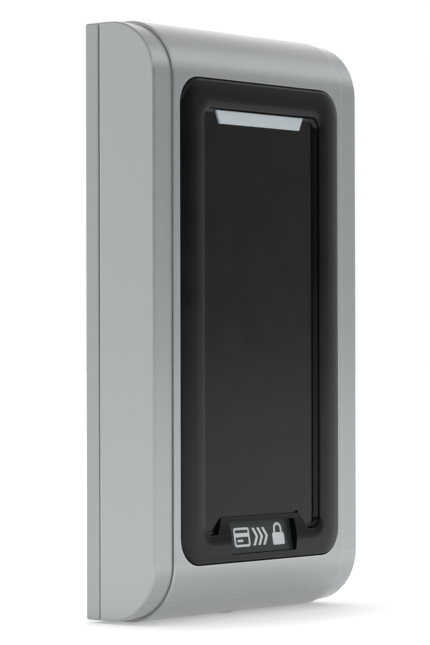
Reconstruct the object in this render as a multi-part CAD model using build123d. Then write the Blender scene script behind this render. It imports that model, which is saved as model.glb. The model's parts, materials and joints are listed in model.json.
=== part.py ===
"""Wall-mounted proximity card reader, as an assembly of separate pieces.

Frame: millimetres, +Z up, the wall behind the reader is the plane Y = 0 and the
front faces -Y.  X = 0 and Z = 0 run through the middle of the wall plate.
"""
from build123d import *
from math import cos, radians, sin, sqrt
import os

# ---------------------------------------------------------------- driving sizes
WIDTH = 66.0              # across the housing
HEIGHT = 120.0            # over the raised middle of the housing
DEPTH = 18.55             # wall to the flat front of the raised middle
NOSE_R = 12.12            # large rounding of the front's top and bottom
MIDDLE_HALF = 27.5        # half width of the raised middle
STEP = 0.55               # how far the middle stands above the two cheeks
GROOVE_W = 0.2            # fine groove at the foot of that step
GROOVE_D = 0.2
CHEEK_EDGE_R = 0.45       # rounded outer edges of the cheeks
MIDDLE_EDGE_R = 0.3       # rounded edges of the raised middle
WALL = 2.2                # housing wall

PLATE_T = 3.5             # visible band of the wall plate
PLATE_FLOOR = 2.0
PLATE_RIM = 2.3
SEAM = 0.35               # shadow gap between plate and housing
HOUSING_BACK = -(PLATE_T + SEAM)

APERTURE_X = 25.75        # half sizes of the window in the housing's front
APERTURE_Z = 48.72
APERTURE_R = 5.75
GAP = 0.25                # gap round the black front moulding

CREST = -19.3             # foremost line of the black frame
CROWN_R = 14.8            # radius of the frame's crowned section
CROWN_OUTER = 3.9         # crest line to the frame's outer edge
CROWN_INNER = 2.45        # crest line to the recess
SHOULDER_R = 0.7
RECESS_FLOOR = -17.9
RECESS_X = 18.75          # half sizes of the recess in the black moulding
RECESS_Z = 42.8
RECESS_R = 2.2
COVE_R = 0.85             # cove between the recess's floor and its wall
RIM_R = 0.25
MOULDING_BACK = -15.0
FLANGE_FRONT = -15.85     # flange that bears on the housing from behind

TAB_EDGE_Z = 39.45        # free edge of the tab that runs up into the recess
TAB_EDGE_X = 12.75
TAB_SPREAD = 0.576        # widening of the tab per millimetre towards its root
TAB_SINK = 0.02           # the tab's face lies this much under the frame's
CHANNEL_W = 0.4           # narrow channel along the tab's free edge
CHANNEL_D = 0.5

LENS_LOW_Z = 39.77        # status window: a trapezoid standing out of the floor
LENS_TOP_Z = 42.45
LENS_LOW_X = 12.86
LENS_TOP_X = 14.14
LENS_FRONT = -18.4

BADGE_X = 10.5            # badge film, sunk in a sloping window in the tab
BADGE_TOP_Z = 40.6
BADGE_LOW_Z = 46.9
BADGE_TOP_Y = -17.3
BADGE_LOW_Y = -18.34
BADGE_T = 0.3
BADGE_GAP = 0.1

PCB_FRONT = -12.9
PCB_BACK = -11.7
PCB_X = 23.0
PCB_Z = 46.0
PCB_HOLE_X = 20.6
PCB_HOLE_Z = 43.2
COVER_FRONT = -6.4
COVER_BACK = -5.2
COVER_X = 30.4
COVER_TOP = 52.0
COVER_BOTTOM = -47.5
COVER_SCREW_X = 28.6
COVER_SCREW_Z = 40.0

WALL_HOLE_R = 2.1
WALL_HOLE_X = 22.0
WALL_HOLE_Z = 46.0
PAIR_HOLE_Z = 30.0
OUTLET_Z = 14.0           # cable outlet in the wall plate
OUTLET_W = 24.0
OUTLET_H = 18.0
OUTLET_R = 4.0

LOCK_Y = -7.5             # axis of the security screw
SCREW_R = 1.5
SLOT_W = 3.4
PLUNGER_X = 18.0          # axis of the tamper plunger
PLUNGER_Z = -20.0
PLUNGER_R = 1.6
CLEAR = 0.1               # running clearance

FLANGE_X = 26.35          # flange of the black moulding, behind the aperture
FLANGE_Z = 49.3
FLANGE_R = 6.0
LENS_GAP = 0.05           # all round the light bar in its slot
BOSS_R = 2.0              # bosses on the black moulding for the board screws
BOSS_PILOT_R = 0.8
BOSS_PILOT_TIP = -17.6
COVER_BOSS_R = 2.1        # bosses in the housing for the rear cover screws
COVER_PILOT_R = 0.95
COVER_PILOT_TIP = -15.0
LOCK_BORE_R = 2.8         # counterbore for the security screw's head
LOCK_BORE_TOP = -58.3

FOAM_X = 30.0             # groove for the wall gasket, outer and inner edge
FOAM_Z = 56.5
FOAM_INNER_X = 27.5
FOAM_INNER_Z = 54.0
FOAM_T = 0.8
HOOK_X = 16.0             # hooks at the top of the wall plate
HOOK_W = 5.0
LOCK_TAB_X = 7.0          # lower tab of the wall plate, with the slot for the screw clip
LOCK_TAB_TOP = -54.4
LOCK_TAB_LOW = -56.0
LOCK_TAB_FRONT = -10.5

BOBBIN_X = 18.0           # antenna former
BOBBIN_Z = 28.0
BOBBIN_FRONT = -14.8
BOBBIN_BACK = -13.4
TERMINAL_R = 1.6          # screw access holes in the wiring terminal
NUT_HALF = 2.8            # square nut and its pocket
NUT_LOW = -53.9
NUT_TOP = -52.0
HEAD_R = 2.6              # security screw
HEAD_LOW = -59.85
HEAD_TOP = -58.35
SHANK_TOP = -48.6
CLIP_R = 2.7              # retaining clip in the screw's groove
CLIP_LOW = -49.8
CLIP_TOP = -49.2


# ---------------------------------------------------------------- small helpers
def block(x0, x1, y0, y1, z0, z1):
    """Rectangular block between two corners."""
    corner = Pos((x0 + x1) / 2, (y0 + y1) / 2, (z0 + z1) / 2)
    return corner * Box(abs(x1 - x0), abs(y1 - y0), abs(z1 - z0))


def rod_y(x, z, r, y0, y1):
    """Cylinder along Y."""
    return Pos(x, (y0 + y1) / 2, z) * Rot(90, 0, 0) * Cylinder(r, abs(y1 - y0))


def rod_z(x, y, r, z0, z1):
    """Cylinder along Z."""
    return Pos(x, y, (z0 + z1) / 2) * Cylinder(r, abs(z1 - z0))


def front_plane(y):
    """Sketch plane facing the viewer at depth y: local x is X, local y is Z."""
    return Plane(origin=(0, y, 0), x_dir=(1, 0, 0), z_dir=(0, -1, 0))


def slab(half_x, half_z, corner_r, y_back, y_front, z_mid=0.0):
    """Rounded rectangle standing in the XZ plane, thick along Y."""
    face = front_plane(y_back) * Pos(0, z_mid) * RectangleRounded(2 * half_x, 2 * half_z, corner_r)
    return extrude(face, amount=y_back - y_front)


def prism_x(points, half_x):
    """Outline of (y, z) points extruded symmetrically across X."""
    side = Plane(origin=(0, 0, 0), x_dir=(0, 1, 0), z_dir=(1, 0, 0))
    return extrude(side * Polygon(*points, align=None), amount=half_x, both=True)


def trapezoid(edge_x, edge_z, root_x, root_z, y_back, y_front):
    """Trapezoid plate, its short edge at edge_z and its long edge at root_z."""
    outline = [(-edge_x, edge_z), (edge_x, edge_z), (root_x, root_z), (-root_x, root_z)]
    if root_z < edge_z:
        outline.reverse()
    face = front_plane(y_back) * Polygon(*outline, align=None)
    return extrude(face, amount=y_back - y_front)


def four_corners(x, z):
    return [(sx * x, sz * z) for sx in (-1, 1) for sz in (-1, 1)]


def lobed_recess(x, z, r, depth, lobes=6):
    """Star shaped driver recess cut along +Y from the origin of a screw head."""
    ring = [rod_y(x + 0.62 * r * cos(radians(k * 360 / lobes)),
                  z + 0.62 * r * sin(radians(k * 360 / lobes)),
                  0.3 * r, *depth) for k in range(lobes)]
    return rod_y(x, z, 0.62 * r, *depth) + ring


# ---------------------------------------------------------------- die-cast housing
def side_profile(drop, y_back):
    """Side outline of the housing, lowered everywhere by drop."""
    top = HEIGHT / 2 - drop
    front = -(DEPTH - drop)
    r = NOSE_R - drop
    centre_y = front + r
    mid = sqrt(0.5) * r
    upper = Line((y_back, -top), (y_back, top)) + Line((y_back, top), (centre_y, top))
    nose_top = ThreePointArc((centre_y, top), (centre_y - mid, top - r + mid), (front, top - r))
    face = Line((front, top - r), (front, r - top))
    nose_low = ThreePointArc((front, r - top), (centre_y - mid, r - top - mid), (centre_y, -top))
    under = Line((centre_y, -top), (y_back, -top))
    return upper + nose_top + face + nose_low + under


def housing_body(half_x, drop, y_back):
    plane = Plane(origin=(0, 0, 0), x_dir=(0, 1, 0), z_dir=(1, 0, 0))
    face = make_face(side_profile(drop, y_back).edges())
    return extrude(plane * face, amount=half_x, both=True)


def nose_edges(shape, x, reach=HEIGHT):
    """Edges of the housing's side outline that lie in the plane X = x, both hands."""
    picked = [e for e in shape.edges() if abs(abs(e.center().X) - x) < 1e-3
              and e.bounding_box().size.X < 1e-3
              and e.center().Y < HOUSING_BACK - 0.5 and abs(e.center().Z) < reach]
    return picked


def front_housing():
    middle = housing_body(MIDDLE_HALF, 0.0, HOUSING_BACK)
    middle = fillet(nose_edges(middle, MIDDLE_HALF), MIDDLE_EDGE_R)
    neck = housing_body(MIDDLE_HALF + GROOVE_W, STEP + GROOVE_D, HOUSING_BACK)
    cheeks = housing_body(WIDTH / 2, STEP, HOUSING_BACK)
    cheeks = fillet(nose_edges(cheeks, WIDTH / 2), CHEEK_EDGE_R)
    inner = housing_body(MIDDLE_HALF + GROOVE_W, -1.0, HOUSING_BACK)
    shell = (cheeks - inner) + neck + middle

    cavity = housing_body(WIDTH / 2 - WALL, WALL, HOUSING_BACK + 1.0)
    shell -= cavity
    shell -= slab(APERTURE_X, APERTURE_Z, APERTURE_R, MOULDING_BACK, -DEPTH - 1.0)

    lip_top = HEIGHT / 2 - WALL
    shell += block(-25.0, 25.0, HOUSING_BACK, -5.2, 56.4, lip_top + 0.5)
    for x, z in four_corners(COVER_SCREW_X, COVER_SCREW_Z):
        boss = rod_y(x, z, COVER_BOSS_R, -DEPTH + WALL - 0.3, COVER_FRONT)
        boss += block(x, x * 1.1, -DEPTH + WALL - 0.3, COVER_FRONT, z - COVER_BOSS_R, z + COVER_BOSS_R)
        shell += boss & housing_body(WIDTH / 2 - 1.0, WALL - 0.5, HOUSING_BACK)
        shell -= rod_y(x, z, COVER_PILOT_R, COVER_PILOT_TIP, COVER_FRONT)

    lock_boss = rod_z(0, LOCK_Y, 4.2, -58.5, -56.5)
    shell += lock_boss & block(-5.0, 5.0, -15.0, HOUSING_BACK, -59.0, -56.0)
    shell -= rod_z(0, LOCK_Y, SCREW_R + CLEAR, -61.0, -56.0)
    shell -= rod_z(0, LOCK_Y, LOCK_BORE_R, -61.0, LOCK_BORE_TOP)
    return shell


# ---------------------------------------------------------------- black front moulding
def crown_section(edge, width, outward):
    """Section of the crown cutter at Z = 0, the outline being the line X = edge."""
    crest = edge - outward * width
    drop = CROWN_R - sqrt(CROWN_R ** 2 - width ** 2)
    mid_drop = CROWN_R - sqrt(CROWN_R ** 2 - width ** 2 / 4)
    past = edge + outward * 0.6
    arc = ThreePointArc((crest, CREST), ((crest + edge) / 2, CREST + mid_drop), (edge, CREST + drop))
    rest = Polyline((edge, CREST + drop), (past, CREST + drop), (past, CREST - 1.0), (crest, CREST - 1.0),
                    (crest, CREST))
    return make_face((arc + rest).edges())


def crown_cutter(half_x, half_z, corner_r, width, outward):
    """Ring that shaves the frame's face to a large arc.

    The arc is tangent to the crest plane at `width` from the given outline and
    falls away towards the outline itself.  `outward` is +1 when the outline lies
    outside the crest and -1 when it lies inside.
    """
    straight_x = half_x - corner_r
    straight_z = half_z - corner_r
    side = extrude(crown_section(half_x, width, outward), amount=straight_z, both=True)
    end = extrude(crown_section(half_z, width, outward), amount=straight_x, both=True)
    end = Rot(0, -90, 0) * end
    section = Pos(0, 0, straight_z) * crown_section(half_x, width, outward)
    corner = revolve(section, Axis((straight_x, 0, straight_z), (0, -1, 0)), 90)
    right_half = side + corner + mirror(corner, about=Plane.XY)
    ends = end + mirror(end, about=Plane.XY)
    return right_half + mirror(right_half, about=Plane.YZ) + ends


def recess_space():
    """Space inside the frame, with a cove round its floor."""
    space = slab(RECESS_X, RECESS_Z, RECESS_R, RECESS_FLOOR, -21.0)
    return fillet([e for e in space.edges() if abs(e.center().Y - RECESS_FLOOR) < 1e-3], COVE_R)


def recess_mouth(body):
    """Edges round the mouth of the recess."""
    mouth_y = CREST + CROWN_R - sqrt(CROWN_R ** 2 - CROWN_INNER ** 2)
    level = [e for e in body.edges() if abs(e.bounding_box().min.Y - mouth_y) < 0.01
             and e.bounding_box().size.Y < 0.01]
    return [e for e in level if abs(e.center().X) < RECESS_X + 0.1 and abs(e.center().Z) < RECESS_Z + 0.1]


def tab():
    """Tongue that runs up from the frame's lower side; its face carries on the frame's crown."""
    root_z = RECESS_Z + 1.0
    root_x = TAB_EDGE_X + TAB_SPREAD * (root_z - TAB_EDGE_Z)
    plan = trapezoid(TAB_EDGE_X, -TAB_EDGE_Z, root_x, -root_z, RECESS_FLOOR + 0.5, CREST)
    crest_z = RECESS_Z + CROWN_INNER
    crown = Pos(0, CREST + CROWN_R + TAB_SINK, -crest_z) * Rot(0, 90, 0) * Cylinder(CROWN_R, WIDTH)
    tongue = plan & crown
    face = tongue.faces().sort_by(Axis.Y)[0]
    free_edges = [e for e in face.edges() if e.center().Z > -root_z + 0.1]
    return fillet(free_edges, RIM_R)


def front_bezel():
    outer_x = APERTURE_X - GAP
    outer_z = APERTURE_Z - GAP
    outer_r = APERTURE_R - GAP
    body = slab(outer_x, outer_z, outer_r, MOULDING_BACK, CREST)
    body -= crown_cutter(outer_x, outer_z, outer_r, CROWN_OUTER, 1)
    shoulder = [e for e in body.edges() if CREST + 0.1 < e.center().Y < -18.4
                and e.bounding_box().size.Y < 0.05
                and (abs(e.center().X) > outer_x - 2.0 or abs(e.center().Z) > outer_z - 2.0)]
    body = fillet(shoulder, SHOULDER_R)

    body -= recess_space()
    body -= crown_cutter(RECESS_X, RECESS_Z, RECESS_R, CROWN_INNER, -1)
    body = fillet(recess_mouth(body), RIM_R)
    body += tab()

    channel_low = -TAB_EDGE_Z
    body -= block(-TAB_EDGE_X, TAB_EDGE_X, RECESS_FLOOR - 0.1, RECESS_FLOOR + CHANNEL_D,
                  channel_low, channel_low + CHANNEL_W)
    body -= badge_space(BADGE_GAP, 4.0)

    body += slab(FLANGE_X, FLANGE_Z, FLANGE_R, MOULDING_BACK, FLANGE_FRONT)
    body -= light_bar_plan(LENS_GAP, -20.0)
    for x, z in four_corners(PCB_HOLE_X, PCB_HOLE_Z):
        body += rod_y(x, z, BOSS_R, MOULDING_BACK - 0.1, PCB_FRONT)
        body -= rod_y(x, z, BOSS_PILOT_R, BOSS_PILOT_TIP, PCB_FRONT)
    return body


def light_bar_plan(grow, y_front):
    return trapezoid(LENS_LOW_X + grow, LENS_LOW_Z - grow, LENS_TOP_X + grow, LENS_TOP_Z + grow,
                     MOULDING_BACK, y_front)


def light_bar():
    """Status window: a trapezoid block through the moulding, proud of the recess's floor."""
    bar = light_bar_plan(0.0, LENS_FRONT)
    return fillet(bar.edges().group_by(Axis.Y)[0], 0.15)


def badge_y(z_down):
    """Depth of the badge's front at a distance below the middle of the plate."""
    slope = (BADGE_LOW_Y - BADGE_TOP_Y) / (BADGE_LOW_Z - BADGE_TOP_Z)
    return BADGE_TOP_Y + slope * (z_down - BADGE_TOP_Z)


def badge_space(grow, thickness):
    """Sloping slab over the badge's seat: the badge itself, or the window cut above it."""
    top, low = BADGE_TOP_Z - grow, BADGE_LOW_Z + grow
    back_top, back_low = badge_y(top) + BADGE_T, badge_y(low) + BADGE_T
    points = [(back_top, -top), (back_low, -low), (back_low - thickness, -low), (back_top - thickness, -top)]
    return prism_x(points, BADGE_X + grow)


def name_plate():
    """Blank badge glued to the bottom of its window in the lower tab."""
    return badge_space(0.0, BADGE_T)


def bezel_gasket():
    ring = slab(FLANGE_X, FLANGE_Z - 0.15, FLANGE_R, FLANGE_FRONT, -16.25)
    return ring - slab(25.8, 48.77, 5.8, -15.0, -17.0)


# ---------------------------------------------------------------- wall plate
def back_plate():
    half_x = WIDTH / 2
    half_z = HEIGHT / 2 - STEP
    plate = slab(half_x, half_z, 0.6, 0.0, -PLATE_T)
    outer_edges = [e for e in plate.edges() if e.bounding_box().size.Y < 1e-3]
    plate = fillet(outer_edges, 0.3)
    plate -= slab(half_x - PLATE_RIM, half_z - PLATE_RIM, 1.0, -PLATE_FLOOR, -PLATE_T - 1.0)
    plate -= slab(OUTLET_W / 2, OUTLET_H / 2, OUTLET_R, 1.0, -PLATE_T, OUTLET_Z)
    for x, z in four_corners(WALL_HOLE_X, WALL_HOLE_Z) + [(0, PAIR_HOLE_Z), (0, -PAIR_HOLE_Z)]:
        plate -= rod_y(x, z, WALL_HOLE_R, -PLATE_T, 1.0)
    plate -= rod_y(PLUNGER_X, PLUNGER_Z, PLUNGER_R + 0.6, -PLATE_T, 1.0)
    plate -= (slab(FOAM_X, FOAM_Z, 2.0, 1.0, -FOAM_T)
              - slab(FOAM_INNER_X, FOAM_INNER_Z, 1.5, 1.5, -1.5))

    for x in (-HOOK_X, HOOK_X):
        hook = [(-1.9, 54.9), (-1.9, 56.2), (-5.45, 56.2), (-6.5, 57.15), (-7.1, 57.15), (-7.1, 54.9)]
        plate += Pos(x, 0, 0) * prism_x(hook, HOOK_W)
    tab = block(-LOCK_TAB_X, LOCK_TAB_X, LOCK_TAB_FRONT, -1.9, LOCK_TAB_LOW, LOCK_TAB_TOP)
    slot = block(-SLOT_W / 2, SLOT_W / 2, -11.0, LOCK_Y, -57.0, -53.0)
    slot += rod_z(0, LOCK_Y, SLOT_W / 2, -57.0, -53.0)
    plate += tab - slot
    gusset = prism_x([(-1.9, LOCK_TAB_TOP), (-1.9, -51.4), (-4.9, LOCK_TAB_TOP)], 0.6)
    for x in (-6.4, 6.4):
        plate += Pos(x, 0, 0) * gusset
    return plate


def wall_gasket():
    ring = slab(FOAM_X - CLEAR, FOAM_Z - CLEAR, 1.9, -0.02, 0.02 - FOAM_T)
    return ring - slab(FOAM_INNER_X + CLEAR, FOAM_INNER_Z + CLEAR, 1.6, 1.0, -2.0)


def seam_gasket():
    inset = 0.7
    half_x = WIDTH / 2 - inset
    half_z = HEIGHT / 2 - STEP - inset
    ring = slab(half_x, half_z, 0.5, -PLATE_T, HOUSING_BACK + 0.05)
    return ring - slab(half_x - 1.3, half_z - 1.3, 0.5, 0.0, -6.0)


# ---------------------------------------------------------------- antenna and electronics
def antenna_bobbin():
    """Rectangular coil former with a winding channel round its outside."""
    ring = slab(BOBBIN_X, BOBBIN_Z, 3.0, BOBBIN_BACK, BOBBIN_FRONT) - slab(15.2, 25.2, 1.5, -12.0, -16.0)
    channel = slab(BOBBIN_X + 1.0, BOBBIN_Z + 1.0, 3.0, -13.75, -14.45) - slab(16.8, 26.8, 1.8, -12.0, -16.0)
    return ring - channel


def antenna_coil():
    wound = slab(BOBBIN_X - 0.3, BOBBIN_Z - 0.3, 2.7, -13.8, -14.4)
    return wound - slab(16.85, 26.85, 1.85, -12.0, -16.0)


def ferrite_sheet():
    return slab(BOBBIN_X - 1.0, BOBBIN_Z - 1.0, 1.0, PCB_FRONT, PCB_FRONT - 0.2)


def main_pcb():
    board = slab(PCB_X, PCB_Z, 1.5, PCB_BACK, PCB_FRONT)
    for x, z in four_corners(PCB_HOLE_X, PCB_HOLE_Z):
        board -= rod_y(x, z, 1.15, PCB_FRONT - 1.0, PCB_BACK + 1.0)
    return board


def pcb_screws():
    screws = []
    for x, z in four_corners(PCB_HOLE_X, PCB_HOLE_Z):
        screw = rod_y(x, z, 2.0, PCB_BACK, PCB_BACK + 1.3) + rod_y(x, z, 0.8, -17.3, PCB_BACK + 0.2)
        screw -= lobed_recess(x, z, 1.1, (PCB_BACK + 0.5, PCB_BACK + 2.0))
        screws.append(screw)
    return Compound(children=screws)


def status_leds():
    leds = []
    for x in (-8.0, 0.0, 8.0):
        led = block(x - 1.75, x + 1.75, PCB_FRONT - 0.8, PCB_FRONT, 39.8, 42.6)
        leds.append(led)
    return Compound(children=leds)


def light_guide():
    """Clear block that spreads the lamps' light behind the status window."""
    guide = trapezoid(12.0, 39.8, 13.6, 42.4, -13.85, MOULDING_BACK + 0.02)
    return guide


def back_part(x0, x1, z0, z1, height):
    """Component on the rear face of the circuit board."""
    return block(x0, x1, PCB_BACK, PCB_BACK + height, z0, z1)


def chip_with_leads(x, z, body, height, leads, pitch):
    """Leaded chip package: a body with a row of legs on two sides."""
    chip = back_part(x - body / 2, x + body / 2, z - body / 2, z + body / 2, height)
    chip = chamfer(chip.edges().group_by(Axis.Y)[-1], 0.2)
    for k in range(leads):
        offset = (k - (leads - 1) / 2) * pitch
        chip += back_part(x - body / 2 - 0.8, x + body / 2 + 0.8, z + offset - 0.15, z + offset + 0.15, 0.3)
    return chip


def processor_chip():
    return chip_with_leads(-9.0, -28.0, 9.0, 1.4, 11, 0.7)


def radio_chips():
    places = [(8.0, -33.0), (9.0, 30.0)]
    return Compound(children=[chip_with_leads(x, z, 5.0, 1.1, 6, 0.75) for x, z in places])


def crystal():
    can = slab(5.2, 1.9, 1.85, PCB_BACK + 3.0, PCB_BACK, 0.0)
    return Pos(-9.0, 0, -18.5) * fillet(can.edges().group_by(Axis.Y)[-1], 0.4)


def capacitors():
    cans = []
    for x, z in ((14.0, 20.0), (14.0, 13.5), (-15.0, 4.0)):
        can = rod_y(x, z, 2.5, PCB_BACK + 0.6, PCB_BACK + 4.9)
        can = fillet(can.edges().group_by(Axis.Y)[-1], 0.3)
        foot = back_part(x - 2.7, x + 2.7, z - 2.7, z + 2.7, 0.7)
        cans.append(can + foot)
    return Compound(children=cans)


def chip_components():
    """Surface-mounted resistors and capacitors in short rows."""
    parts = []
    for row_z, x_start, count in ((-38.0, -14.0, 6), (36.0, -8.0, 8), (22.0, 2.0, 3), (-13.5, 3.0, 5)):
        for k in range(count):
            x = x_start + 2.4 * k
            parts.append(back_part(x - 0.4, x + 0.4, row_z - 0.8, row_z + 0.8, 0.45))
    return Compound(children=parts)


def buzzer():
    can = rod_y(-13.0, 18.0, 4.8, PCB_BACK, PCB_BACK + 4.4)
    can = fillet(can.edges().group_by(Axis.Y)[-1], 0.4)
    return can - rod_y(-13.0, 18.0, 1.0, PCB_BACK + 3.4, PCB_BACK + 6.0)


TERMINAL_X = [-7.5 + 5.0 * k for k in range(4)]
TERMINAL_Z = -7.5


def wiring_terminal():
    """Four-way screw terminal whose wire mouths face upwards to the cable outlet."""
    body = block(-10.0, 10.0, PCB_BACK, -3.6, TERMINAL_Z - 4.0, TERMINAL_Z + 4.0)
    body = chamfer(body.edges().filter_by(Axis.X).group_by(Axis.Y)[-1], 0.8)
    for x in TERMINAL_X:
        body -= rod_y(x, TERMINAL_Z, TERMINAL_R, -6.5, -3.0)
        body -= block(x - 1.5, x + 1.5, -10.5, -7.7, TERMINAL_Z + 0.5, TERMINAL_Z + 5.0)
    return body


def terminal_screws():
    screws = []
    for x in TERMINAL_X:
        screw = rod_y(x, TERMINAL_Z, 1.5, -6.5, -4.9)
        screw -= block(x - 2.0, x + 2.0, -5.5, -4.0, TERMINAL_Z - 0.25, TERMINAL_Z + 0.25)
        screws.append(screw)
    return Compound(children=screws)


# ---------------------------------------------------------------- rear cover and locking
def rear_cover():
    top_z = COVER_TOP
    half_z = (COVER_TOP - COVER_BOTTOM) / 2
    cover = slab(COVER_X, half_z, 2.0, COVER_BACK, COVER_FRONT, top_z - half_z)
    window = slab(10.6, 4.6, 1.0, COVER_BACK + 1.0, COVER_FRONT - 1.0, TERMINAL_Z)
    cover -= window
    cover -= rod_y(PLUNGER_X, PLUNGER_Z, PLUNGER_R + CLEAR, COVER_FRONT - 1.0, COVER_BACK + 1.0)
    for x, z in four_corners(COVER_SCREW_X, COVER_SCREW_Z):
        cover -= rod_y(x, z, 1.1, COVER_FRONT - 1.0, COVER_BACK + 1.0)
    for z in (-30.0, 30.0):
        cover -= slab(18.0, 1.0, 0.95, COVER_BACK + 1.0, COVER_BACK - 0.4, z)
    return cover


def rear_cover_screws():
    screws = []
    for x, z in four_corners(COVER_SCREW_X, COVER_SCREW_Z):
        screw = rod_y(x, z, 1.75, COVER_BACK, COVER_BACK + 1.3) + rod_y(x, z, 0.95, -14.8, COVER_BACK + 0.2)
        screw -= lobed_recess(x, z, 1.1, (COVER_BACK + 0.5, COVER_BACK + 2.0))
        screws.append(screw)
    return Compound(children=screws)


def nut_carrier():
    """Moulded shelf under the front that holds the lock nut just above the wall plate's tab."""
    shelf = block(-5.5, 5.5, -16.5, -4.2, -54.2, -52.0) & housing_body(20.0, WALL + 0.02, HOUSING_BACK)
    pocket = NUT_HALF + 0.05
    shelf -= block(-pocket, pocket, LOCK_Y - pocket, LOCK_Y + pocket, NUT_LOW, -51.0)
    shelf -= rod_z(0, LOCK_Y, 1.8, -55.0, -51.0)
    for x in (-4.7, 4.7):
        web = block(x - 0.8, x + 0.8, -17.0, -10.9, -57.9, -50.0)
        shelf += web & housing_body(20.0, WALL + 0.02, HOUSING_BACK)
    return shelf


def lock_nut():
    nut = block(-NUT_HALF, NUT_HALF, LOCK_Y - NUT_HALF, LOCK_Y + NUT_HALF, NUT_LOW, NUT_TOP)
    nut = chamfer(nut.edges().filter_by(Axis.Z), 0.3)
    return nut - rod_z(0, LOCK_Y, SCREW_R + 0.05, -55.0, -51.0)


def screw_clip():
    """Retaining ring near the screw's tip; it rides with the screw but doesn't turn."""
    ring = rod_z(0, LOCK_Y, CLIP_R, CLIP_LOW, CLIP_TOP) - rod_z(0, LOCK_Y, 1.22, -50.5, -48.5)
    mouth = block(-0.9, 0.9, LOCK_Y - 3.5, LOCK_Y, -50.5, -48.5)
    return ring - mouth


def security_screw():
    head = rod_z(0, LOCK_Y, HEAD_R, HEAD_LOW, HEAD_TOP)
    head = fillet(head.edges().group_by(Axis.Z)[0], 0.5)
    shank = rod_z(0, LOCK_Y, SCREW_R, HEAD_TOP - 0.2, SHANK_TOP)
    shank = chamfer(shank.edges().group_by(Axis.Z)[-1], 0.3)
    groove = rod_z(0, LOCK_Y, 2.0, CLIP_LOW - CLEAR, CLIP_TOP + CLEAR) - rod_z(0, LOCK_Y, 1.14, -50.5, -48.5)
    screw = head + shank - groove
    for k in range(6):
        a = radians(60 * k)
        screw -= rod_z(0.8 * cos(a), LOCK_Y + 0.8 * sin(a), 0.36, HEAD_LOW - 0.5, HEAD_LOW + 1.0)
    socket = rod_z(0, LOCK_Y, 0.85, HEAD_LOW - 0.5, HEAD_LOW + 1.0)
    pin = rod_z(0, LOCK_Y, 0.3, HEAD_LOW + 0.1, HEAD_LOW + 1.2)
    return screw - socket + pin


# ---------------------------------------------------------------- tamper detector
def tamper_switch():
    body = back_part(PLUNGER_X - 3.0, PLUNGER_X + 3.0, PLUNGER_Z - 3.0, PLUNGER_Z + 3.0, 2.0)
    body = chamfer(body.edges().group_by(Axis.Y)[-1], 0.3)
    for z in (-2.0, 2.0):
        body += back_part(PLUNGER_X - 3.9, PLUNGER_X + 3.9, PLUNGER_Z + z - 0.4, PLUNGER_Z + z + 0.4, 0.35)
    return body


def tamper_spring():
    """Flat wave spring under the plunger's flange, as three stacked rings on small posts."""
    rings = None
    for k in range(3):
        y = -9.65 + 0.5 * k
        ring = rod_y(PLUNGER_X, PLUNGER_Z, 2.2, y, y + 0.25) - rod_y(PLUNGER_X, PLUNGER_Z, 1.5, y - 1, y + 1)
        rings = ring if rings is None else rings + ring
    for k in range(2):
        for side in (-1, 1):
            x = PLUNGER_X + side * 1.85 * cos(radians(90 * k))
            z = PLUNGER_Z + side * 1.85 * sin(radians(90 * k))
            rings += rod_y(x, z, 0.22, -9.5 + 0.5 * k, -9.0 + 0.5 * k)
    return rings


def tamper_plunger():
    tip = -0.1
    shaft = rod_y(PLUNGER_X, PLUNGER_Z, PLUNGER_R, -8.15, tip)
    shaft = fillet(shaft.edges().group_by(Axis.Y)[-1], 0.5)
    return shaft + rod_y(PLUNGER_X, PLUNGER_Z, 2.6, -8.2, -7.8)


# ---------------------------------------------------------------- export
NODES = {
    "back_plate": back_plate,
    "wall_gasket": wall_gasket,
    "seam_gasket": seam_gasket,
    "front_housing": front_housing,
    "front_bezel": front_bezel,
    "bezel_gasket": bezel_gasket,
    "name_plate": name_plate,
    "light_bar": light_bar,
    "light_guide": light_guide,
    "antenna_bobbin": antenna_bobbin,
    "antenna_coil": antenna_coil,
    "ferrite_sheet": ferrite_sheet,
    "main_pcb": main_pcb,
    "pcb_screws": pcb_screws,
    "status_leds": status_leds,
    "processor_chip": processor_chip,
    "radio_chips": radio_chips,
    "crystal": crystal,
    "capacitors": capacitors,
    "chip_components": chip_components,
    "buzzer": buzzer,
    "wiring_terminal": wiring_terminal,
    "terminal_screws": terminal_screws,
    "rear_cover": rear_cover,
    "rear_cover_screws": rear_cover_screws,
    "nut_carrier": nut_carrier,
    "lock_nut": lock_nut,
    "screw_clip": screw_clip,
    "security_screw": security_screw,
    "tamper_switch": tamper_switch,
    "tamper_spring": tamper_spring,
    "tamper_plunger": tamper_plunger,
}


def main():
    os.makedirs("parts", exist_ok=True)
    for name, make in NODES.items():
        export_step(make(), os.path.join("parts", name + ".step"))


if __name__ == "__main__":
    main()
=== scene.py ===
import json
from math import cos, radians, sin

import bmesh
import bpy
from mathutils import Matrix, Vector


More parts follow.
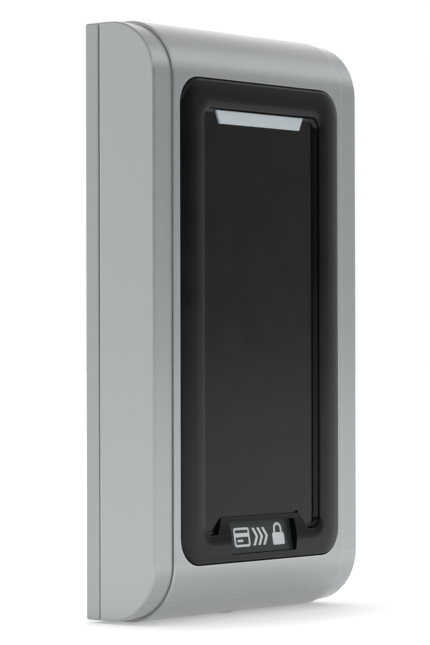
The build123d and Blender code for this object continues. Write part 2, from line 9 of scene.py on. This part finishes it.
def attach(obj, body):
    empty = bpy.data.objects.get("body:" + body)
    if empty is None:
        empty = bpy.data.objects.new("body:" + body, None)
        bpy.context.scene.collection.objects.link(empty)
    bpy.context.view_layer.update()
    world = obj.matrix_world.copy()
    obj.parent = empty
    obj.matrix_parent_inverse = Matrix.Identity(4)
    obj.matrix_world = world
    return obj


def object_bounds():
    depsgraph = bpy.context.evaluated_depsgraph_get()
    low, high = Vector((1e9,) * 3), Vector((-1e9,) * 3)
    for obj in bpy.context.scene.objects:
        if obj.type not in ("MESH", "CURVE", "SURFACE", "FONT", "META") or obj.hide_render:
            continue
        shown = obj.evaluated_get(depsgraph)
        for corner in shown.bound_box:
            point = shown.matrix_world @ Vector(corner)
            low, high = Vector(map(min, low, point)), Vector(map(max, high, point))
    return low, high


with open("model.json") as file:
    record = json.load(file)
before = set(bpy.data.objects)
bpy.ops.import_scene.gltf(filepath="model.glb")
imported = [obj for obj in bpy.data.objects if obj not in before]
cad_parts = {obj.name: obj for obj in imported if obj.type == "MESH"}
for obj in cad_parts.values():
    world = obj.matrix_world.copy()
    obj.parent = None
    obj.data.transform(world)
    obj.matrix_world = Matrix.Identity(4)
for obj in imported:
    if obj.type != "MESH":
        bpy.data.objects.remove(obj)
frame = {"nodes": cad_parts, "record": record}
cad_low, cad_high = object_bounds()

MM = 0.001

# ------------------------------------------------------------------ camera and studio
CAMERA_AZIMUTH = 50.01        # degrees to the left of the reader's front
CAMERA_ELEVATION = -0.62
CAMERA_DISTANCE = 0.6015      # metres from the middle of the wall plate
CAMERA_PAN = 0.455            # degrees the aim turns to the right of that middle
CAMERA_ROLL = -0.136
CAMERA_LENS = 161.2           # millimetres, on a sensor 36 mm along its longer side
CAMERA_SENSOR = 36.0
CAMERA_CLIP = (0.01, 50.0)

WORLD_STRENGTH = 1.35
DARK_AZIMUTH = -25.0          # the unlit side of the studio, degrees to the right of the front
DARK_DOT = (-0.3, 0.57)       # the studio dims between these cosines from that direction
DARK_LEAST = 0.05
DARK_HEIGHT = (0.25, 0.55)    # sines of elevation where the dark band starts to fade and ends
CEILING_HEIGHT = (0.45, 0.8)  # sines of elevation between which the studio dims overhead
CEILING_LEVEL = 0.42

FLOOR_HALF = 6.0              # metres from the middle of the floor to its sides
PAINTED_SHADOW_REACH = 30 * MM          # painted shadow: the floor's glow grows over this distance from the reader
GLOW_WITH_PAINTED_SHADOW = (0.3, 0.6)             # its strength next to the reader, kept low there as a painted shadow, and beyond that distance

# name, place, aim and size in metres, power in watts, and whether it shows in reflections
SOFTBOXES = (
    ("overhead_softbox", (-0.1, 0.2, 1.2), (0, 0, 0), (1.2, 1.2), 5.5, False),
    ("low_front_softbox", (-0.15, -0.5, 0.02), (0, 0, -0.06), (0.9, 0.05), 0.6, False),
    ("right_softbox", (1.08, -0.46, 0.76), (0, 0, 0), (0.5, 0.4), 0.1, True),
)


def make_camera():
    """Camera at the viewing angle, aimed a little to the right of the plate's middle."""
    az, el = radians(CAMERA_AZIMUTH), radians(CAMERA_ELEVATION)
    place = CAMERA_DISTANCE * Vector((-sin(az) * cos(el), -cos(az) * cos(el), sin(el)))
    heading = az + radians(CAMERA_PAN)
    forward = Vector((sin(heading) * cos(el), cos(heading) * cos(el), -sin(el)))
    right = forward.cross(Vector((0, 0, 1))).normalized()
    up = right.cross(forward)
    roll = radians(CAMERA_ROLL)
    right, up = cos(roll) * right + sin(roll) * up, cos(roll) * up - sin(roll) * right
    camera = bpy.data.objects.new("camera", bpy.data.cameras.new("camera"))
    bpy.context.scene.collection.objects.link(camera)
    axes = Matrix((right, up, -forward)).transposed()
    camera.matrix_world = Matrix.Translation(place) @ axes.to_4x4()
    camera.data.lens = CAMERA_LENS
    camera.data.sensor_width = CAMERA_SENSOR
    camera.data.clip_start, camera.data.clip_end = CAMERA_CLIP
    bpy.context.scene.camera = camera


def make_world():
    """White studio, dimmer overhead, with a dark horizontal band on the photographer's side."""
    world = bpy.data.worlds.new("studio")
    bpy.context.scene.world = world
    world.use_nodes = True
    nodes, links = world.node_tree.nodes, world.node_tree.links
    nodes.clear()
    direction = nodes.new("ShaderNodeTexCoord").outputs["Generated"]

    def ramp(value, span, levels, smooth=True):
        node = nodes.new("ShaderNodeMapRange")
        node.interpolation_type = "SMOOTHSTEP" if smooth else "LINEAR"
        node.inputs["From Min"].default_value, node.inputs["From Max"].default_value = span
        node.inputs["To Min"].default_value, node.inputs["To Max"].default_value = levels
        links.new(value, node.inputs["Value"])
        return node.outputs["Result"]

    def arithmetic(operation, first, second=None):
        node = nodes.new("ShaderNodeMath")
        node.operation = operation
        for socket, value in zip(node.inputs, (first, second)):
            if isinstance(value, float):
                socket.default_value = value
            elif value is not None:
                links.new(value, socket)
        return node.outputs[0]

    towards_dark = nodes.new("ShaderNodeVectorMath")
    towards_dark.operation = "DOT_PRODUCT"
    angle = radians(DARK_AZIMUTH)
    towards_dark.inputs[1].default_value = (sin(angle), -cos(angle), 0.0)
    links.new(direction, towards_dark.inputs[0])
    split = nodes.new("ShaderNodeSeparateXYZ")
    links.new(direction, split.inputs[0])

    shade = ramp(towards_dark.outputs["Value"], DARK_DOT, (0.0, 1.0 - DARK_LEAST), smooth=False)
    band = ramp(arithmetic("ABSOLUTE", split.outputs["Z"]), DARK_HEIGHT, (1.0, 0.0))
    walls = arithmetic("SUBTRACT", 1.0, arithmetic("MULTIPLY", shade, band))
    ceiling = ramp(split.outputs["Z"], CEILING_HEIGHT, (1.0, CEILING_LEVEL))
    level = arithmetic("MULTIPLY", walls, ceiling)

    lit = nodes.new("ShaderNodeBackground")
    links.new(arithmetic("MULTIPLY", level, WORLD_STRENGTH), lit.inputs["Strength"])
    seen = nodes.new("ShaderNodeBackground")
    seen.inputs["Strength"].default_value = 1.0
    seen.inputs["Color"].default_value = (1, 1, 1, 1)
    chooser = nodes.new("ShaderNodeMixShader")
    links.new(nodes.new("ShaderNodeLightPath").outputs["Is Camera Ray"], chooser.inputs["Fac"])
    links.new(lit.outputs[0], chooser.inputs[1])
    links.new(seen.outputs[0], chooser.inputs[2])
    links.new(chooser.outputs[0], nodes.new("ShaderNodeOutputWorld").inputs["Surface"])


def softbox(name, place, aim, size, power, reflected):
    """Rectangular area light that looks from place to aim, and that the camera doesn't see."""
    lamp = bpy.data.lights.new(name, "AREA")
    lamp.shape = "RECTANGLE"
    lamp.size, lamp.size_y = size
    lamp.energy = power
    box = bpy.data.objects.new(name, lamp)
    bpy.context.scene.collection.objects.link(box)
    box.location = place
    box.rotation_mode = "QUATERNION"
    box.rotation_quaternion = (Vector(aim) - Vector(place)).to_track_quat("-Z", "Y")
    box.visible_camera = False
    box.visible_glossy = reflected


def make_lights():
    """Light from above, a low strip in front, and a box mirrored by faces that look forward and up."""
    for values in SOFTBOXES:
        softbox(*values)


def make_floor():
    """Pale floor at the height of the reader's lower edge."""
    half, low = FLOOR_HALF, cad_low.z
    mesh = bpy.data.meshes.new("floor")
    mesh.from_pydata([(-half, -half, low), (half, -half, low), (half, half, low), (-half, half, low)],
                     [], [(0, 1, 2, 3)])
    floor = bpy.data.objects.new("floor", mesh)
    bpy.context.scene.collection.objects.link(floor)
    floor.data.materials.append(floor_material())


# ------------------------------------------------------------------ node helpers
NOISE_SPAN = (0.3, 0.7)       # most values of a noise texture lie between these
BEVEL_SAMPLES = 4
WORN_AND_HIGHLIGHT_COSINE = (0.90, 0.99)    # from fully worn and highlit to neither: agreement of rounded and true normal


class Surface:
    """A new material with a Principled shader, and short ways to add texture nodes."""

    def __init__(self, name, colour, roughness, metallic=0.0, **sockets):
        self.material = bpy.data.materials.new(name)
        self.material.use_nodes = True
        self.nodes = self.material.node_tree.nodes
        self.links = self.material.node_tree.links
        self.shader = self.nodes["Principled BSDF"]
        self.shader.inputs["Base Color"].default_value = (*colour, 1.0)
        self.shader.inputs["Roughness"].default_value = roughness
        self.shader.inputs["Metallic"].default_value = metallic
        for key, value in sockets.items():
            self.shader.inputs[key.replace("_", " ")].default_value = value
        self.place = self.nodes.new("ShaderNodeTexCoord").outputs["Object"]
        self.bumped = None

    def link(self, source, target):
        self.links.new(source, target)

    def noise(self, scale, detail=2.0, stretch=None):
        """Noise of `scale` cells per millimetre."""
        node = self.nodes.new("ShaderNodeTexNoise")
        node.inputs["Scale"].default_value = scale / MM
        node.inputs["Detail"].default_value = detail
        source = self.place
        if stretch:
            mapping = self.nodes.new("ShaderNodeMapping")
            mapping.inputs["Scale"].default_value = stretch
            self.link(self.place, mapping.inputs["Vector"])
            source = mapping.outputs["Vector"]
        self.link(source, node.inputs["Vector"])
        return node.outputs["Fac"]

    def cells(self, scale, feature="F1"):
        """Voronoi texture of `scale` cells per millimetre."""
        node = self.nodes.new("ShaderNodeTexVoronoi")
        node.feature = feature
        node.inputs["Scale"].default_value = scale / MM
        self.link(self.place, node.inputs["Vector"])
        return node

    def ramp(self, value, low, high, to_low, to_high):
        """Maps low..high to to_low..to_high, and keeps to those ends outside that span."""
        node = self.nodes.new("ShaderNodeMapRange")
        for key, number in (("From Min", low), ("From Max", high), ("To Min", to_low), ("To Max", to_high)):
            node.inputs[key].default_value = number
        self.link(value, node.inputs["Value"])
        return node.outputs["Result"]

    def vary_roughness(self, noise, to_low, to_high):
        """Lets the roughness follow a noise texture."""
        self.link(self.ramp(noise, *NOISE_SPAN, to_low, to_high), self.shader.inputs["Roughness"])

    def mix(self, factor, first, second):
        """Colour between two colours or colour sockets: the first at factor 0, the second at 1."""
        node = self.nodes.new("ShaderNodeMix")
        node.data_type = "RGBA"
        self.link(factor, node.inputs["Factor"])
        for socket, value in ((node.inputs[6], first), (node.inputs[7], second)):
            if isinstance(value, tuple):
                socket.default_value = (*value, 1.0)
            else:
                self.link(value, socket)
        return node.outputs[2]

    def colour(self, source):
        """Takes the base colour from a socket."""
        self.link(source, self.shader.inputs["Base Color"])

    def bump(self, value, depth_mm):
        """Adds a bump of `depth_mm`, on top of any bump before it."""
        node = self.nodes.new("ShaderNodeBump")
        node.inputs["Distance"].default_value = depth_mm * MM
        self.link(value, node.inputs["Height"])
        if self.bumped is not None:
            self.link(self.bumped, node.inputs["Normal"])
        self.bumped = node.outputs["Normal"]
        self.link(self.bumped, self.shader.inputs["Normal"])

    def worn_and_highlight_edges(self, radius_mm):
        """Rises to 1 within `radius_mm` of a sharp edge, and is 0 elsewhere."""
        rounded_off = self.nodes.new("ShaderNodeBevel")
        rounded_off.samples = BEVEL_SAMPLES
        rounded_off.inputs["Radius"].default_value = radius_mm * MM
        agree = self.nodes.new("ShaderNodeVectorMath")
        agree.operation = "DOT_PRODUCT"
        self.link(rounded_off.outputs["Normal"], agree.inputs[0])
        self.link(self.nodes.new("ShaderNodeNewGeometry").outputs["Normal"], agree.inputs[1])
        return self.ramp(agree.outputs["Value"], *WORN_AND_HIGHLIGHT_COSINE, 1.0, 0.0)


# ------------------------------------------------------------------ materials
FLAKE_TONE = (0.97, 1.03)     # darkest and lightest flake, as factors of the paint's colour
RUBBED_AND_HIGHLIGHT_TONE = 1.7             # colour of a rubbed edge with a painted highlight, as a factor of the paint's colour
RUBBED_AND_HIGHLIGHT_WIDTH = 0.35           # millimetres
CLOUD_TONE = (0.88, 1.12)     # darkest and lightest cloud in moulded plastic
METAL_TONE = (0.86, 1.1)      # darkest and lightest line in bare metal


def tinted(colour, factor):
    """The colour times a factor, with no channel above 1."""
    return tuple(min(1.0, factor * c) for c in colour)


def floor_material():
    """White paper with a glow that is weaker near the reader: a painted shadow around the reader, on top of
    its real contact shadow.
    """
    s = Surface("floor_paper", (0.86, 0.86, 0.86), 0.7, Emission_Color=(1, 1, 1, 1))
    grain = s.noise(0.8, detail=4)
    s.colour(s.mix(grain, (0.85, 0.85, 0.85), (0.88, 0.88, 0.88)))

    def vector(operation, first, second=None):
        node = s.nodes.new("ShaderNodeVectorMath")
        node.operation = operation
        s.link(first, node.inputs[0])
        if second is not None:
            node.inputs[1].default_value = second
        return node.outputs["Value" if operation == "LENGTH" else "Vector"]

    middle = (cad_low + cad_high) / 2
    half = (cad_high - cad_low) / 2
    past_middle = vector("ABSOLUTE", vector("SUBTRACT", s.place, (middle.x, middle.y, cad_low.z)))
    outside = vector("MAXIMUM", vector("SUBTRACT", past_middle, (half.x, half.y, 0)), (0, 0, 0))
    away = vector("LENGTH", outside)
    # painted shadow: the glow is weaker close to the reader's footprint
    s.link(s.ramp(away, 0.0, PAINTED_SHADOW_REACH, *GLOW_WITH_PAINTED_SHADOW), s.shader.inputs["Emission Strength"])
    return s.material


def silver_paint(name, colour):
    """Satin metallic lacquer: fine flake, a slight orange peel, and lighter edges that are partly rubbed
    wear and partly a painted highlight.
    """
    s = Surface(name, colour, 0.24, metallic=0.62, Coat_Weight=0.5, Coat_Roughness=0.08)
    flaked = s.mix(s.cells(9.0).outputs["Distance"], *(tinted(colour, tone) for tone in FLAKE_TONE))
    # lighter edges: partly rubbed wear, partly a painted highlight
    s.colour(s.mix(s.worn_and_highlight_edges(RUBBED_AND_HIGHLIGHT_WIDTH), flaked, tinted(colour, RUBBED_AND_HIGHLIGHT_TONE)))
    s.vary_roughness(s.noise(0.6, detail=2), 0.21, 0.27)
    s.bump(s.noise(1.2, detail=1), 0.0012)
    return s.material


def black_moulding():
    """Satin black plastic with a fine spark-eroded texture."""
    s = Surface("black_moulding", (0.0035, 0.0035, 0.0036), 0.16, Specular_IOR_Level=0.24)
    cloud = s.noise(0.12, detail=3)
    s.colour(s.mix(cloud, (0.003, 0.003, 0.0031), (0.004, 0.004, 0.004)))
    s.vary_roughness(cloud, 0.13, 0.19)
    s.bump(s.noise(7.0, detail=3), 0.0015)
    return s.material


def badge_film():
    """Satin dark film with a very fine grain."""
    s = Surface("badge", (0.02, 0.026, 0.026), 0.28)
    cloud = s.noise(1.5, detail=3)
    s.colour(s.mix(cloud, (0.017, 0.023, 0.023), (0.023, 0.029, 0.029)))
    s.vary_roughness(s.noise(8.0), 0.26, 0.34)
    s.bump(s.noise(12.0, detail=2), 0.0015)
    return s.material


def badge_ink():
    """Light grey ink, slightly uneven."""
    s = Surface("badge_ink", (0.56, 0.59, 0.61), 0.45)
    s.colour(s.mix(s.noise(10.0, detail=3), (0.53, 0.56, 0.58), (0.59, 0.62, 0.64)))
    s.bump(s.noise(14.0, detail=2), 0.002)
    return s.material


def frosted_lens():
    """Milky acrylic with a frosted face."""
    s = Surface("lens", (0.5, 0.53, 0.55), 0.35, Subsurface_Weight=0.1, Coat_Weight=0.3)
    s.colour(s.mix(s.noise(0.5, detail=2), (0.42, 0.45, 0.47), (0.46, 0.49, 0.51)))
    s.bump(s.noise(9.0, detail=2), 0.002)
    return s.material


def clear_plastic():
    """Clear acrylic with moulding marks."""
    s = Surface("clear_guide", (0.85, 0.87, 0.88), 0.18, Transmission_Weight=0.6, IOR=1.49)
    s.vary_roughness(s.noise(2.0, detail=3), 0.14, 0.24)
    s.bump(s.noise(6.0), 0.001)
    return s.material


def foam():
    """Closed-cell foam."""
    s = Surface("foam", (0.03, 0.03, 0.031), 0.9)
    cell = s.cells(2.6, "SMOOTH_F1")
    s.colour(s.mix(cell.outputs["Distance"], (0.015, 0.015, 0.016), (0.05, 0.05, 0.052)))
    s.bump(cell.outputs["Distance"], 0.08)
    return s.material


def rubber():
    """Dark moulded rubber."""
    s = Surface("rubber", (0.018, 0.018, 0.018), 0.65)
    s.colour(s.mix(s.noise(1.0, detail=4), (0.013, 0.013, 0.013), (0.024, 0.024, 0.023)))
    s.bump(s.noise(5.0, detail=4), 0.01)
    return s.material


def moulded(name, colour, roughness, grain=4.0, depth=0.004):
    """Moulded plastic: slightly clouded colour, fine grain and uneven gloss."""
    s = Surface(name, colour, roughness)
    cloud = s.noise(0.25, detail=4)
    s.colour(s.mix(cloud, *(tinted(colour, tone) for tone in CLOUD_TONE)))
    s.vary_roughness(s.noise(grain, detail=3), roughness * 0.9, min(1.0, roughness * 1.12))
    s.bump(s.noise(grain, detail=3), depth)
    return s.material


def copper_winding():
    """Enamelled wire laid in turns: ridges run along the winding, about 0.4 mm apart."""
    s = Surface("winding", (0.55, 0.22, 0.08), 0.28, metallic=1.0, Coat_Weight=0.6)
    wave = s.nodes.new("ShaderNodeTexWave")
    wave.bands_direction = "Y"
    wave.inputs["Scale"].default_value = 0.8 / MM
    wave.inputs["Distortion"].default_value = 0.4
    s.link(s.place, wave.inputs["Vector"])
    s.colour(s.mix(wave.outputs["Fac"], (0.30, 0.10, 0.035), (0.62, 0.27, 0.10)))
    s.bump(wave.outputs["Fac"], 0.06)
    return s.material


def sintered_sheet():
    """Dull grey-brown ferrite."""
    s = Surface("ferrite", (0.05, 0.046, 0.042), 0.7, metallic=0.2)
    s.colour(s.mix(s.noise(3.0, detail=5), (0.035, 0.032, 0.03), (0.07, 0.064, 0.058)))
    s.bump(s.noise(6.0, detail=5), 0.02)
    return s.material


def circuit_board():
    """Green solder mask over faint copper tracks, with a woven glass texture."""
    s = Surface("circuit_board", (0.02, 0.12, 0.05), 0.32, Coat_Weight=0.4)
    brick = s.nodes.new("ShaderNodeTexBrick")
    turn = s.nodes.new("ShaderNodeMapping")
    turn.inputs["Rotation"].default_value = (radians(90), 0, 0)
    s.link(s.place, turn.inputs["Vector"])
    s.link(turn.outputs["Vector"], brick.inputs["Vector"])
    brick.inputs["Scale"].default_value = 0.28 / MM
    brick.inputs["Mortar Size"].default_value = 0.05
    track = brick.outputs["Fac"]
    s.colour(s.mix(track, (0.015, 0.10, 0.04), (0.06, 0.22, 0.09)))
    s.bump(track, 0.02)
    s.bump(s.noise(2.5, detail=3, stretch=(1, 1, 3)), 0.006)
    return s.material


def brushed_metal(name, colour, roughness, stretch):
    """Bare metal with fine lines, stretched along the axes where `stretch` is least."""
    s = Surface(name, colour, roughness, metallic=1.0)
    lines = s.noise(2.0, detail=4, stretch=stretch)
    s.colour(s.mix(lines, *(tinted(colour, tone) for tone in METAL_TONE)))
    s.vary_roughness(lines, roughness * 0.8, roughness * 1.25)
    s.bump(lines, 0.003)
    return s.material


MATERIALS = {
    "die_cast": lambda: silver_paint("die_cast", (0.356, 0.373, 0.378)),
    "wall_plate": lambda: silver_paint("wall_plate", (0.318, 0.335, 0.329)),
    "black_moulding": black_moulding,
    "badge": badge_film,
    "lens": frosted_lens,
    "clear_guide": clear_plastic,
    "foam": foam,
    "rubber": rubber,
    "former": lambda: moulded("former", (0.68, 0.65, 0.55), 0.45),
    "winding": copper_winding,
    "ferrite": sintered_sheet,
    "circuit_board": circuit_board,
    "chip_plastic": lambda: moulded("chip_plastic", (0.018, 0.018, 0.02), 0.5, grain=6.0),
    "lamp": lambda: moulded("lamp", (0.78, 0.77, 0.68), 0.3),
    "tin": lambda: brushed_metal("tin", (0.66, 0.66, 0.65), 0.3, (1, 1, 6)),
    "ceramic": lambda: moulded("ceramic", (0.42, 0.33, 0.22), 0.5),
    "terminal_green": lambda: moulded("terminal_green", (0.03, 0.22, 0.08), 0.42),
    "zinc_screw": lambda: brushed_metal("zinc_screw", (0.6, 0.6, 0.57), 0.34, (3, 1, 1)),
    "stainless": lambda: brushed_metal("stainless", (0.55, 0.55, 0.54), 0.26, (1, 5, 1)),
    "inner_black": lambda: moulded("inner_black", (0.022, 0.022, 0.023), 0.5, grain=3.0, depth=0.008),
    "plunger_white": lambda: moulded("plunger_white", (0.74, 0.74, 0.71), 0.4),
}


# ------------------------------------------------------------------ badge print
# All in millimetres. On the badge, x is to the right and y is down from BADGE_TOP.
BADGE_TOP = (0.0, -17.3, -40.6)     # middle of the badge's upper edge
BADGE_SLOPE = 0.165                 # how far it leans forward for each millimetre down
INK_LIFT = (0.004, 0.02)            # back and front of the ink above the film

CARD = (-8.2, -3.2, 1.2, 5.1)       # left, right, top and low edge
CARD_LINE = 0.45                    # width of its outline
CARD_CORNERS = (0.6, 0.25)          # outer and inner radius of that outline
STRIPE = (2.3, 3.1)                 # top and low edge
DASH = (-7.2, -5.4, 3.65, 4.1)      # the short line below the stripe

ARROWS = (-2.3, -0.7, 0.9)          # left edge of each arrowhead
ARROW_ROWS = (1.4, 3.2, 5.0)        # top, point and low end
ARROW_STROKE = 0.75                 # width of the stroke along the row
ARROW_REACH = 1.1                   # how far the point lies to the right of the ends

LOCK_X = 6.1
LOCK_HALF = 1.9                     # half the width of the padlock's body
LOCK_ROWS = (2.7, 5.2)              # top and low edge of the body
LOCK_CORNER = 0.35
SHACKLE_Y = 1.95                    # centre of the bow
SHACKLE_R = (1.35, 0.8)             # outer and inner radius of the bow
SHACKLE_FOOT = 2.75


class Print:
    """Flat printed shapes on the badge, drawn in millimetres right and down from its upper edge."""

    def __init__(self):
        self.mesh = bmesh.new()

    def corner(self, point, lift):
        """New vertex at `point`, `lift` millimetres above the film."""
        across, down = point
        slant = (1 + BADGE_SLOPE ** 2) ** 0.5
        middle = Vector(BADGE_TOP) + Vector((across, -BADGE_SLOPE * down / slant, -down / slant))
        return self.mesh.verts.new(MM * (middle + lift * Vector((0, -1, BADGE_SLOPE)) / slant))

    def slab(self, outline):
        """A filled outline."""
        back, front = ([self.corner(p, lift) for p in outline] for lift in INK_LIFT)
        self.mesh.faces.new(front)
        self.mesh.faces.new(back[::-1])
        for i in range(len(outline)):
            j = (i + 1) % len(outline)
            self.mesh.faces.new((front[j], front[i], back[i], back[j]))

    def band(self, outer, inner):
        """The closed band between two outlines with the same number of points."""
        rings = [[self.corner(p, lift) for p in outline] for lift in INK_LIFT for outline in (outer, inner)]
        back_outer, back_inner, front_outer, front_inner = rings
        for i in range(len(outer)):
            j = (i + 1) % len(outer)
            self.mesh.faces.new((front_outer[i], front_outer[j], front_inner[j], front_inner[i]))
            self.mesh.faces.new((back_outer[j], back_outer[i], back_inner[i], back_inner[j]))
            self.mesh.faces.new((front_outer[j], front_outer[i], back_outer[i], back_outer[j]))
            self.mesh.faces.new((front_inner[i], front_inner[j], back_inner[j], back_inner[i]))

    def piece(self, name, material):
        """Makes the drawing a piece that rides on the head."""
        bmesh.ops.recalc_face_normals(self.mesh, faces=self.mesh.faces)
        mesh = bpy.data.meshes.new(name)
        self.mesh.to_mesh(mesh)
        self.mesh.free()
        symbol = bpy.data.objects.new(name, mesh)
        bpy.context.scene.collection.objects.link(symbol)
        symbol.data.materials.append(material)
        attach(symbol, "reader_head")


def rounded(left, right, top, low, radius, steps=5):
    """Outline of a rectangle with rounded corners."""
    points = []
    corners = ((right, low, 0), (left, low, 90), (left, top, 180), (right, top, 270))
    for x, y, start in corners:
        cx = x - radius if x == right else x + radius
        cy = y - radius if y == low else y + radius
        for k in range(steps + 1):
            turn = radians(start + 90 * k / steps)
            points.append((cx + radius * cos(turn), cy + radius * sin(turn)))
    return points


def shackle(radius, steps=16):
    """One edge of the padlock's shackle: up one leg, over the bow and down the other."""
    turns = [radians(180 + 180 * k / steps) for k in range(steps + 1)]
    bow = [(LOCK_X + radius * cos(t), SHACKLE_Y + radius * sin(t)) for t in turns]
    return [(LOCK_X - radius, SHACKLE_FOOT)] + bow + [(LOCK_X + radius, SHACKLE_FOOT)]


def card_symbol(ink):
    """A plain card with a stripe and a short line."""
    drawing = Print()
    left, right, top, low = CARD
    inside = (left + CARD_LINE, right - CARD_LINE)
    outer_corner, inner_corner = CARD_CORNERS
    hole = (*inside, top + CARD_LINE, low - CARD_LINE)
    drawing.band(rounded(*CARD, outer_corner), rounded(*hole, inner_corner))
    drawing.slab(rounded(*inside, *STRIPE, 0.02, steps=1))
    drawing.slab(rounded(*DASH, 0.15, steps=3))
    drawing.piece("badge_card_print", ink)


def arrow_symbol(ink):
    """Three arrowheads that point from the card to the lock."""
    drawing = Print()
    top, point, low = ARROW_ROWS
    for left in ARROWS:
        stroke = left + ARROW_STROKE
        drawing.slab([(left, top), (stroke, top), (stroke + ARROW_REACH, point), (stroke, low), (left, low),
                      (left + ARROW_REACH, point)])
    drawing.piece("badge_arrow_print", ink)


def lock_symbol(ink):
    """A plain padlock."""
    drawing = Print()
    drawing.slab(rounded(LOCK_X - LOCK_HALF, LOCK_X + LOCK_HALF, *LOCK_ROWS, LOCK_CORNER))
    outer, inner = (shackle(radius) for radius in SHACKLE_R)
    drawing.slab(outer + inner[::-1])
    drawing.piece("badge_lock_print", ink)


def badge_print():
    """The three printed symbols on the badge."""
    ink = badge_ink()
    card_symbol(ink)
    arrow_symbol(ink)
    lock_symbol(ink)


def paint_nodes():
    """Gives every CAD node the material of its slot."""
    made = {}
    for part in frame["record"]["subparts"]:
        slot = part["material_slot"]
        if slot not in made:
            made[slot] = MATERIALS[slot]()
        mesh = frame["nodes"][part["node"]].data
        mesh.materials.clear()
        mesh.materials.append(made[slot])


make_camera()
make_world()
make_lights()
make_floor()
paint_nodes()
badge_print()
bpy.context.scene.view_settings.view_transform = "Standard"
